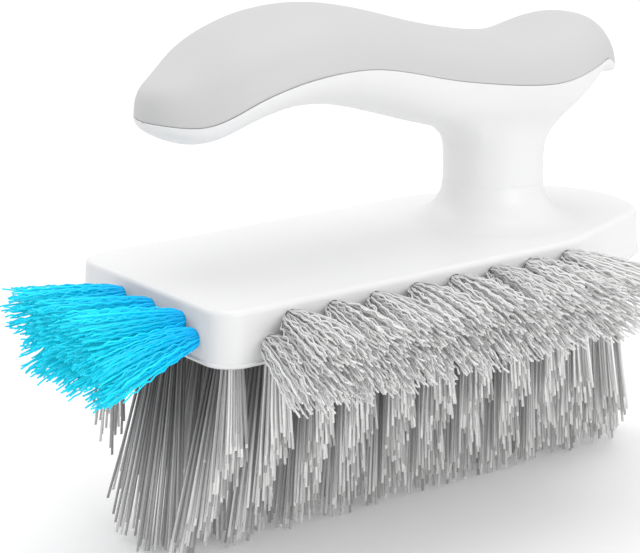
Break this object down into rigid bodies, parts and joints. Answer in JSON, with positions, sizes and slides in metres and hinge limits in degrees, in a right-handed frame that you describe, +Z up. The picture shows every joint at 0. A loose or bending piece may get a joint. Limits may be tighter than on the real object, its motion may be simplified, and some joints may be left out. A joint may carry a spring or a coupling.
{
  "type": "grout brush",
  "caption": "Hand-held scrubbing brush: tufted block with straight bristles below, crimped bristles at the front and along one side, and a curved palm handle on a post.",
  "frame": {"origin": "flat tip of the middle strand of the middle row of bristles, on the plane on which the bristle tips stand", "axes": "+X from the front wall to the rear nose along the block and the handle, +Z up from the bristle tips to the handle, +Y to the far side, away from the side with the crimped tufts"},
  "size_m": [0.181, 0.0851, 0.126],
  "materials": {
    "block_plastic": "smooth white moulded plastic, satin gloss",
    "shell_plastic": "smooth white moulded plastic, satin gloss",
    "pad_rubber": "soft matte light grey overmould",
    "bottom_filament": "straight grey filament, slight sheen",
    "front_filament": "crimped cyan blue filament",
    "side_filament": "crimped pale grey filament",
    "anchor_metal": "stamped flat wire"
  },
  "bodies": {
    "root": {"block": "block_plastic", "handle": "shell_plastic", "grip_pad": "pad_rubber", "bottom_tufts_centre": "bottom_filament", "bottom_tufts_near_inner": "bottom_filament", "bottom_tufts_near_outer": "bottom_filament", "bottom_tufts_far_inner": "bottom_filament", "bottom_tufts_far_outer": "bottom_filament", "front_tufts_upper": "front_filament", "front_tufts_lower": "front_filament", "side_tufts_upper": "side_filament", "side_tufts_lower": "side_filament", "anchors_centre": "anchor_metal", "anchors_near_inner": "anchor_metal", "anchors_near_outer": "anchor_metal", "anchors_far_inner": "anchor_metal", "anchors_far_outer": "anchor_metal", "anchors_front_upper": "anchor_metal", "anchors_front_lower": "anchor_metal", "anchors_side_upper": "anchor_metal", "anchors_side_lower": "anchor_metal"}
  },
  "joints": []
}
